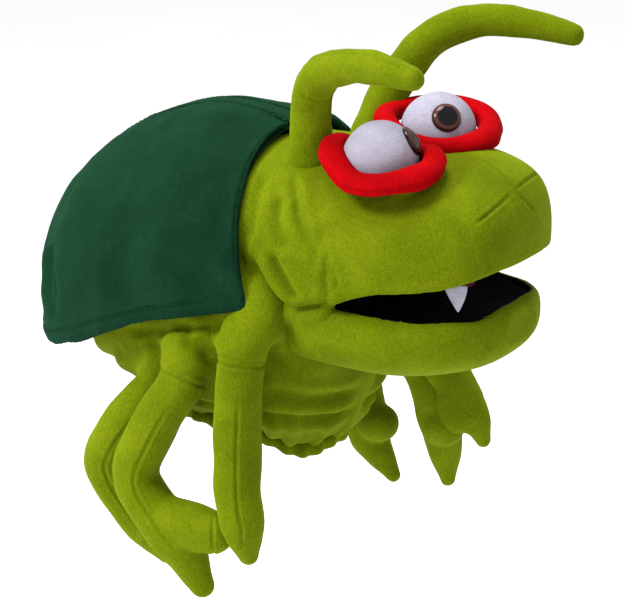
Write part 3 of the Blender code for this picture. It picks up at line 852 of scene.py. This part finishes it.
def body_plush():
    """The belly and back in one stuffed skin, hollow where the hand goes in."""
    body = loft("body_plush", [level(*row, 96) for row in spline(BODY_RINGS, 4)], capped=True)
    cut_well(body, [(-10.0, 38.0), (16.0, 38.5), (36.0, 43.5), (55.0, 46.5)])
    hips = [tube("hip", path, (21.0, 18.0, 13.0), 24, 4)
            for side in (1, -1) for path in ([mirrored(p, side) for p in hip] for hip in HIPS)]
    combine(body, hips, "UNION")
    remesh(body, 2.2, 14, 1)
    draw_up(body)
    for side in (1, -1):
        press_folds(body, BODY_FOLDS, side)
    gathers(body)
    lumps(body, 1.6, 26.0, 11)
    settle(body, "body", "body_skin", "green_plush")


# The skin is drawn out to each leg: from inside the belly to the leg's top.
HIPS = [[(48, -31, 98), (63, -35, 87), (72.5, -36, 76)],
        [(48, -4, 86), (64, -4, 76), (76, -4, 64)],
        [(46, 14, 70), (58, 16, 58), (66, 19, 47)]]
# Soft folds on each side of the belly: points, depth, width.
BODY_FOLDS = [
    ([(65, -31, 93), (62.5, -38, 78.5), (51, -52, 63)], 3, 3.6),
    ([(71.5, 41, 72), (73, 14.5, 77), (72.5, -6, 81), (68.5, -23, 88)], 2.2, 2.6),
    ([(73, 22, 74), (76, 14, 64), (74, 10, 52)], 2, 3.6),
    ([(73, 4, 80), (77, -12, 76), (76, -22, 70)], 2.2, 3.4),
    ([(70, 40, 64), (66, 56, 52), (54, 62, 38)], 2.4, 4.2),
    ([(62, 62, 72), (48, 80, 60), (30, 86, 50)], 2, 5),
    ([(62, -30, 55), (50, -48, 47), (30, -60, 42), (4, -65, 41)], 3.2, 3.8),
    ([(60, -24, 42), (46, -44, 33), (24, -55, 29), (0, -60, 28)], 3.6, 3.4),
    ([(62, 30, 44), (64, 6, 38), (58, -20, 34)], 3, 3.6),
]


def body_filling():
    """The fibre between the belly's skin and the sleeve for the hand."""
    rings = [level(z, half_x - 7.0, half_y - 7.0, middle, squareness, 64)
             for z, half_x, half_y, middle, squareness in BODY_RINGS[2:-2]]
    piece = loft("body_filling", rings, capped=True)
    cut_well(piece, [(-10.0, 47.0), (36.0, 50.0), (62.0, 50.0)])
    remesh(piece, 3.5, 3)
    draw_up(piece)
    settle(piece, "body", "body_stuffing", "stuffing")


def draw_up(obj, lift=15.0):
    """The gathered hem rides up at the sides and the back; only its front hangs low."""
    co = points_of(obj)
    co[:, 2] += lift * ease(co[:, 1], -42.0, -12.0) * (1.0 - ease(co[:, 2], 8.0, 62.0))
    set_points(obj, co)


def gathers(body):
    """Pleats that run up from the elastic and fade out in the belly."""
    co = points_of(body)
    angle = np.arctan2(co[:, 1] - 2.0, co[:, 0])
    height = np.clip((44.0 - co[:, 2]) / 34.0, 0, 1)
    outside = np.hypot(co[:, 0], co[:, 1]) > 42.0
    wave = np.cos(angle * 23 + 1.3 * np.sin(angle * 5)) + 0.5 * np.cos(angle * 37 + 2.0)
    push(body, np.where(outside, 1.25 * wave * height ** 1.4, 0.0))


CUFF_WAIST = 13.0        # height of the elastic inside the gathered hem


def cuff():
    """The gathered hem: drawn in by the elastic, with a soft frill below it."""
    count = 360
    angles = [math.tau * i / count for i in range(count)]
    pleat = [math.cos(a * 24 + 1.8 * math.sin(3 * a)) for a in angles]
    profile = []             # radius, height, pleat depth; down the outside, up the inside
    for share in np.linspace(0.0, 1.0, 22):
        z = 22.0 - 17.0 * share
        waist = math.exp(-((z - CUFF_WAIST) / 3.2) ** 2)
        profile.append((48.0 - 4.6 * waist - 1.6 * share, z, 0.6 + 0.5 * share))
    for turn in np.linspace(0.3, math.pi - 0.3, 6):
        profile.append((44.4 + 1.8 * math.cos(turn), 5.0 - 2.2 * math.sin(turn), 0.9))
    for share in np.linspace(0.0, 1.0, 9):
        profile.append((42.4 - 0.8 * share, 5.4 + 11.0 * share, 0.8 * (1.0 - share)))
    rings = []
    for radius, z, depth in profile:
        ring = []
        for a, wave in zip(angles, pleat):
            r = radius + depth * wave
            ring.append((r * math.cos(a), r * math.sin(a),
                         z + 0.8 * math.sin(a * 7) * (1.0 - ease(z, 4.0, 16.0))))
        rings.append(ring)
    hem = loft("cuff_gathered", rings, loop=True)
    draw_up(hem)
    dress(hem, "green_plush")
    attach(hem, "body")
    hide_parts("cuff")
    band = loft("elastic_band", [[(r * math.cos(a), r * math.sin(a), z) for a in angles[::4]]
                                 for r, z in ((42.0, CUFF_WAIST - 2.5), (42.0, CUFF_WAIST + 2.5),
                                              (41.0, CUFF_WAIST + 2.5), (41.0, CUFF_WAIST - 2.5))],
                loop=True)
    draw_up(band)
    settle(band, "body", "cuff_elastic", "elastic")


def inner_sleeve():
    """Lining cloth round the hand, from the hem up into the body."""
    top, bottom = node_box("hand_lining")[1].z, 6.0
    rings = []
    for share in np.linspace(0.0, 1.0, 24):
        z = bottom + (top - bottom) * share
        radius = 37.4 + 5.5 * share ** 1.5
        ring = []
        for i in range(120):
            angle = math.tau * i / 120
            r = radius + 0.5 * math.cos(angle * 15 + math.sin(2 * angle)) * (1.0 - 0.5 * share)
            ring.append((r * math.cos(angle), r * math.sin(angle), z))
        rings.append(ring)
    sleeve = loft("sleeve_lining", rings)
    draw_up(sleeve)
    mod = sleeve.modifiers.new("cloth", "SOLIDIFY")
    mod.thickness = 1.0 * MM
    bake(sleeve)
    settle(sleeve, "body", "hand_lining", "lining_cloth")


# ---------------------------------------------------------------- wing covers

# From the front edge to the tail: ridge Y, ridge Z, hem half width, hem Y, hem Z.
WING_STATIONS = [
    (-22, 178, 74, -40, 98), (0, 181.5, 84, -16, 93),
    (25, 182, 87, 12, 85), (50, 176, 85, 40, 74),
    (76, 164, 78, 68, 62), (99, 146, 66, 92, 54),
    (119, 122, 47, 112, 54), (131, 94, 24, 126, 62),
]
STRIP = 6.0


def wing_point(station, share, inset=0.0):
    """A point of the dome between the ridge (share 0) and the hem (share 1)."""
    ridge_y, ridge_z, half, hem_y, hem_z = station
    angle = share * math.pi / 2
    out = math.sin(angle) ** 0.88
    down = 1.0 - max(math.cos(angle), 0.0) ** 0.95
    lean = down ** 1.2
    return np.array(((half - inset) * out, ridge_y + (hem_y - ridge_y) * lean,
                     ridge_z - inset + (hem_z - ridge_z + inset) * down))


def share_at(width, half):
    """The share of the dome's arc that lies the given width from the ridge."""
    return math.asin(min(1.0, (width / half) ** (1.0 / 0.88))) * 2.0 / math.pi


def wing_sheet(name, side, steps=64):
    """A cover's outer face, from beside the ridge to the hem."""
    rows = []
    for station in spline(WING_STATIONS, 9):
        start = share_at(STRIP + 0.5, station[2])
        rows.append([mirrored(wing_point(station, start + (1.0 - start) * i / steps), side)
                     for i in range(steps + 1)])
    return loft(name, rows, closed=False)


def face_out(obj):
    """Turn an open sheet so that it faces away from the middle of the body."""
    centre = Vector((0.0, 20.0, 100.0)) * MM
    if sum((f.center - centre).dot(f.normal) for f in obj.data.polygons) < 0:
        obj.data.flip_normals()


def thicken(obj, thickness):
    mod = obj.modifiers.new("thick", "SOLIDIFY")
    mod.thickness = thickness * MM
    mod.offset = -1.0
    bake(obj)


def wing_cover(side):
    """One wing cover, padded and turned at the hem; gives its ridge seam's line."""
    tag = SIDES[side]
    cover = wing_sheet("wing_" + tag, side)
    face_out(cover)
    thicken(cover, 4.2)
    remesh(cover, 1.5, 4, 1)
    stations = spline(WING_STATIONS, 3)
    hem = [mirrored(wing_point(s, 1.0 - 4.5 / 110.0), side) for s in stations[1:-2]]
    crease(cover, hem, 1.0, 1.0)
    edge = stations[0] * 0.88 + stations[1] * 0.12
    front = [mirrored(wing_point(edge, share), side) for share in np.linspace(0.12, 0.94, 9)]
    crease(cover, front, 0.6, 1.1)
    ridge = [mirrored(wing_point(s, share_at(STRIP + 2.4, s[2])), side) for s in stations[:-2]]
    ridge_line = crease(cover, ridge, 0.9, 0.9, fade=False, stitch=3.4)
    press_folds(cover, WING_FOLDS, side)
    lumps(cover, 2.6, 42.0, 17 + side)
    lumps(cover, 0.9, 14.0, 29 + side)
    settle(cover, "body", "wing_cover_" + tag, "dark_plush")
    return ridge_line


# Shallow dents in each wing cover: points, depth, width.
WING_FOLDS = [
    ([(70, 84, 66), (66, 92, 84), (54, 96, 104)], 2.2, 7),
    ([(52, 106, 62), (44, 114, 82), (34, 112, 104)], 2, 6),
    ([(84, 20, 88), (85, 24, 108), (78, 30, 128)], 1.6, 9),
    ([(82, -14, 98), (80, -10, 118), (72, -10, 138)], 1.2, 8),
]


def wing_centre():
    """The strip down the back between its two lines of stitching."""
    rows = []
    for station in spline(WING_STATIONS, 9):
        row = []
        for i in range(25):
            width = STRIP * (i / 12 - 1)
            x, y, z = wing_point(station, share_at(abs(width), station[2]))
            row.append((math.copysign(x, width), y, z))
        rows.append(row)
    strip = loft("wing_centre", rows, closed=False)
    face_out(strip)
    thicken(strip, 3.6)
    remesh(strip, 1.0, 3)
    settle(strip, "body", "wing_centre_strip", "dark_plush")


def wing_under():
    """The covers' lining."""
    rows = []
    for station in spline(WING_STATIONS, 5):
        row = [wing_point(station, 0.94 * i / 40, 4.9) for i in range(41)]
        row = [(x, 20.0 + (y - 20.0) * 0.945, z) for x, y, z in row]
        rows.append([mirrored(p, -1) for p in reversed(row[1:])] + row)
    under = loft("wing_under", rows, closed=False)
    face_out(under)
    thicken(under, 1.2)
    settle(under, "body", "wing_lining", "dark_plush")


# ---------------------------------------------------------------- limbs

def tube(name, path, radii, sides=28, per_span=6):
    """A stuffed tube: round sections along a smooth path with domed ends."""
    line = [Vector(p) for p in spline(path, per_span)]
    sizes = [s[0] for s in spline([(r,) for r in radii], per_span)]
    tangents = [(line[min(i + 1, len(line) - 1)] - line[max(i - 1, 0)]).normalized()
                for i in range(len(line))]
    side = tangents[0].cross(Vector((0.0, 1.0, 0.0))).normalized()
    rings = []

    def ring(centre, tangent, size):
        across = side.cross(tangent).normalized()
        return [centre + (side * math.cos(a) + across * math.sin(a)) * size
                for a in (math.tau * i / sides for i in range(sides))]

    dome = [math.radians(a) for a in (80, 60, 40, 20)]
    for a in dome:
        rings.append(ring(line[0] - tangents[0] * sizes[0] * math.sin(a), tangents[0],
                          sizes[0] * math.cos(a)))
    for centre, tangent, size in zip(line, tangents, sizes):
        side = (side - tangent * side.dot(tangent)).normalized()
        rings.append(ring(centre, tangent, size))
    for a in reversed(dome):
        rings.append(ring(line[-1] + tangents[-1] * sizes[-1] * math.sin(a), tangents[-1],
                          sizes[-1] * math.cos(a)))
    return loft(name, rings, capped=True)


def seam_along(obj, path, radii, direction):
    """A sewn seam along a limb, on the side that direction points to."""
    line = spline(path, 3)
    sizes = [s[0] for s in spline([(r,) for r in radii], 3)]
    shifted = [p + np.array(direction) * r for p, r in zip(line, sizes)]
    crease(obj, shifted[1:], 0.7, 0.9, fade=False)


FEELERS = {
    "left": [(28, -49, 166), (34, -52.5, 183), (44, -58, 199),
             (56, -70, 216), (66.5, -89.5, 224), (74, -113, 223.5),
             (80, -136, 219)],
    "right": [(-25.5, -47, 166), (-28.5, -48, 182), (-32.5, -51.5, 198),
              (-41, -63, 212), (-53, -86, 220.5), (-62.5, -109, 223.5),
              (-69, -129, 222.5)],
}
FEELER_RADII = [11.6, 10.4, 9.9, 9.4, 8.5, 7.5, 5.8]


def feeler(side):
    tag = SIDES[side]
    path = FEELERS[tag]
    piece = tube("feeler_plush_" + tag, path, FEELER_RADII)
    remesh(piece, 1.3, 3)
    for direction in ((side * 0.25, 0.75, 0.6), (-side * 0.25, -0.75, -0.6)):
        seam_along(piece, path, FEELER_RADII, direction)
    # A little pucker where the tube bends.
    x, y, z = path[3]
    crease(piece, [(x - side * 5.0, y + 3.0, z - 12.0), (x + side * 1.0, y + 9.0, z - 7.0)],
           1.0, 1.6)
    lumps(piece, 0.7, 12.0, 31 + side)
    settle(piece, "feeler_" + tag, "feeler_" + tag, "green_plush")


# Each leg hangs in its own way. Rows from the hip to the tip of the heel: X, Y, Z, radius.
# Then the rounded toe: its middle and its radius.
LEGS = {
    "front_right": ([(-73, -36, 72, 11.8), (-75, -36, 58, 12.0), (-77, -36, 32, 12.2),
                     (-80, -38, 6, 12.0), (-82, -42, -13, 11.5), (-81, -45, -29, 5.5)],
                    (-83, -43, -11, 11.5)),
    "middle_right": ([(-77, -4, 60, 11.8), (-81, -1, 50, 12.0), (-85, 10, 30, 12.2),
                      (-87, 21, 3, 12.2), (-86, 8, -17, 12.8), (-85, -7, -33, 12.0),
                      (-84, -18, -51, 6.5)], (-86, -27, -19, 11.0)),
    "rear_right": ([(-64, 17, 48, 11.5), (-76, 27, 34, 12.0), (-79, 40, 16, 12.0),
                    (-76, 48, -2, 12.0), (-73, 36, -22, 12.0), (-72, 21, -36, 11.0),
                    (-72, 13, -46, 6.0)], (-74, 6, -25, 10.0)),
    "front_left": ([(68, -36, 60, 12.0), (78, -52, 42, 11.8), (85, -68, 18, 11.5),
                    (89, -78, 0, 9.5), (92, -84, -16, 4.8)], (84, -70, -2, 11.0)),
    "middle_left": ([(74, -6, 56, 12.0), (83, -28, 40, 12.0), (85, -50, 22, 12.0),
                     (86, -59, -4, 12.6), (90, -60, -22, 10.5), (92, -62, -44, 5.0)],
                    (83, -63, -8, 12.6)),
    "rear_left": ([(70, 24, 52, 11.5), (82, 10, 30, 12.0), (87, -6, 4, 12.0),
                   (87, -10, -16, 12.2), (88, -14, -30, 11.0), (90, -27, -49, 4.6)],
                  (83, -21, -16, 11.8)),
}


def leg(name):
    """A stuffed leg with a rounded toe and a tapered heel, seamed down its outer side."""
    rows, toe = LEGS[name]
    path = [row[:3] for row in rows]
    radii = [row[3] for row in rows]
    side = 1 if path[0][0] > 0 else -1
    piece = tube("leg_plush_" + name, path, radii)
    ankle = path[-3]
    blob = tube("toe", [ankle, tuple((a + b) / 2 for a, b in zip(ankle, toe)), toe[:3]],
                [radii[-3] * 0.9, radii[-3] * 0.95, toe[3]], 28, 4)
    combine(piece, [blob], "UNION")
    remesh(piece, 1.4, 6, 1 if side < 0 else 0)
    near = Vector((-0.84, -0.54, 0.0)) if side < 0 else Vector((0.5, -0.86, 0.0))
    shins = path[1:-1]
    for facing in (near, -near):
        seam = [Vector(p) + facing * r for p, r in zip(shins, radii[1:-1])]
        crease(piece, [tuple(p) for p in seam], 0.8, 0.9)
    over = [Vector(toe[:3]) + Vector((0.0, 0.0, toe[3])), Vector(toe[:3]) + near * toe[3],
            Vector(toe[:3]) - Vector((0.0, 0.0, toe[3] * 0.8))]
    crease(piece, [tuple(p) for p in over], 0.7, 0.9)
    axis = (Vector(path[1]) - Vector(path[0])).normalized()
    top = Vector(path[0]) + axis * 2.0
    turn = axis.cross(Vector((0.0, 1.0, 0.0))).normalized()
    ring = [tuple(top + (turn * math.cos(a) + axis.cross(turn) * math.sin(a)) * radii[0])
            for a in (math.tau * i / 10 for i in range(11))]
    crease(piece, ring, 0.8, 1.0)
    lumps(piece, 1.0, 14.0, 40 + len(name) + side)
    settle(piece, "leg_" + name, "leg_" + name, "green_plush")


# ---------------------------------------------------------------- hidden pieces

HIDDEN = {
    "finger_pocket": "lining_cloth", "thumb_pocket": "lining_cloth",
    "eye_washer_left": "elastic", "eye_washer_right": "elastic",
}


def hidden_pieces():
    """The pieces inside keep their CAD shape and take a finished material."""
    for node, mat in HIDDEN.items():
        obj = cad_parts[node]
        if not obj.data.materials:
            obj.data.materials.append(None)
        for slot in obj.material_slots:
            slot.material = MATS[mat]


# ---------------------------------------------------------------- studio

def area_light(name, place, target, size, energy):
    data = bpy.data.lights.new(name, "AREA")
    data.shape = "DISK"
    data.size = size
    data.energy = energy
    lamp = bpy.data.objects.new(name, data)
    lamp.location = place
    lamp.rotation_euler = (Vector(target) - Vector(place)).to_track_quat("-Z", "Y").to_euler()
    bpy.context.scene.collection.objects.link(lamp)


def studio():
    """A pale floor well below the held-up puppet, soft light, and the camera."""
    mesh = bpy.data.meshes.new("floor")
    reach, drop = 6.0, -0.34
    mesh.from_pydata([(-reach, -reach, drop), (reach, -reach, drop), (reach, reach, drop),
                      (-reach, reach, drop)], [], [(0, 1, 2, 3)])
    floor = bpy.data.objects.new("floor", mesh)
    bpy.context.scene.collection.objects.link(floor)
    n = Nodes("floor_paper")
    tone = n.noise(3.0, 2.0, 0.5)
    n.link(n.greys(tone, 0.3, 0.7, 0.9, 0.93), n.shader.inputs["Base Color"])
    n.set(Roughness=0.9)
    mesh.materials.append(n.mat)

    world = bpy.data.worlds.new("studio")
    world.use_nodes = True
    world.node_tree.nodes["Background"].inputs["Color"].default_value = (1.0, 1.0, 1.0, 1.0)
    world.node_tree.nodes["Background"].inputs["Strength"].default_value = 0.98
    bpy.context.scene.world = world
    bpy.context.scene.view_settings.view_transform = "Standard"
    middle = (0.0, -0.02, 0.1)
    area_light("key", (-0.95, 0.55, 1.2), middle, 0.45, 30.0)
    area_light("top", (-0.1, 0.1, 1.5), middle, 0.7, 20.0)
    area_light("low", (-0.9, 0.0, -0.3), middle, 0.5, 4.0)
    camera()


def camera():
    """The camera stands off the puppet's right front, a little above it."""
    azimuth, elevation, distance = math.radians(-57.0), math.radians(18.0), 1.15
    ahead = Vector((-math.sin(azimuth), math.cos(azimuth), 0.0))
    back = -ahead * math.cos(elevation) + Vector((0.0, 0.0, math.sin(elevation)))
    right = ahead.cross(Vector((0.0, 0.0, 1.0))).normalized()
    up = back.cross(right)
    target = right * 0.02565 + up * 0.07236
    data = bpy.data.cameras.new("camera")
    data.sensor_width = 36.0
    data.lens = data.sensor_width * distance / VIEW_WIDTH
    obj = bpy.data.objects.new("camera", data)
    turn = Matrix((right, up, back)).transposed().to_4x4()
    obj.matrix_world = Matrix.Translation(target + back * distance) @ turn
    bpy.context.scene.collection.objects.link(obj)
    bpy.context.scene.camera = obj


# ---------------------------------------------------------------- build

studio()
head_plush()
mouth_lining("mouth_floor", JAW_SECTIONS, JAW_SECTIONS, 3, -147.5, -10.5, "jaw", "jaw_lining")
board("jaw_card", JAW_SECTIONS, JAW_SECTIONS, 3, -145.0, -13.2, "jaw", "jaw_board")
head_fillings()
mouth_lining("mouth_roof", HEAD_SECTIONS, UPPER_LIP, 1, -150.0, 5.0, "head", "palate_lining")
board("palate_card", HEAD_SECTIONS, UPPER_LIP, 1, -147.0, 6.2, "head", "palate_board")
fang()
tongue()
for hand in (1, -1):
    eye(hand)
    eyelid(hand)
    feeler(hand)
body_plush()
body_filling()
cuff()
inner_sleeve()
thread_lines = [wing_cover(hand) for hand in (1, -1)]
wing_centre()
wing_under()
stitches("wing_topstitch", thread_lines, 2.4, 1.0, 0.32, "body", MATS["dark_thread"])
for leg_name in LEGS:
    leg(leg_name)
hidden_pieces()
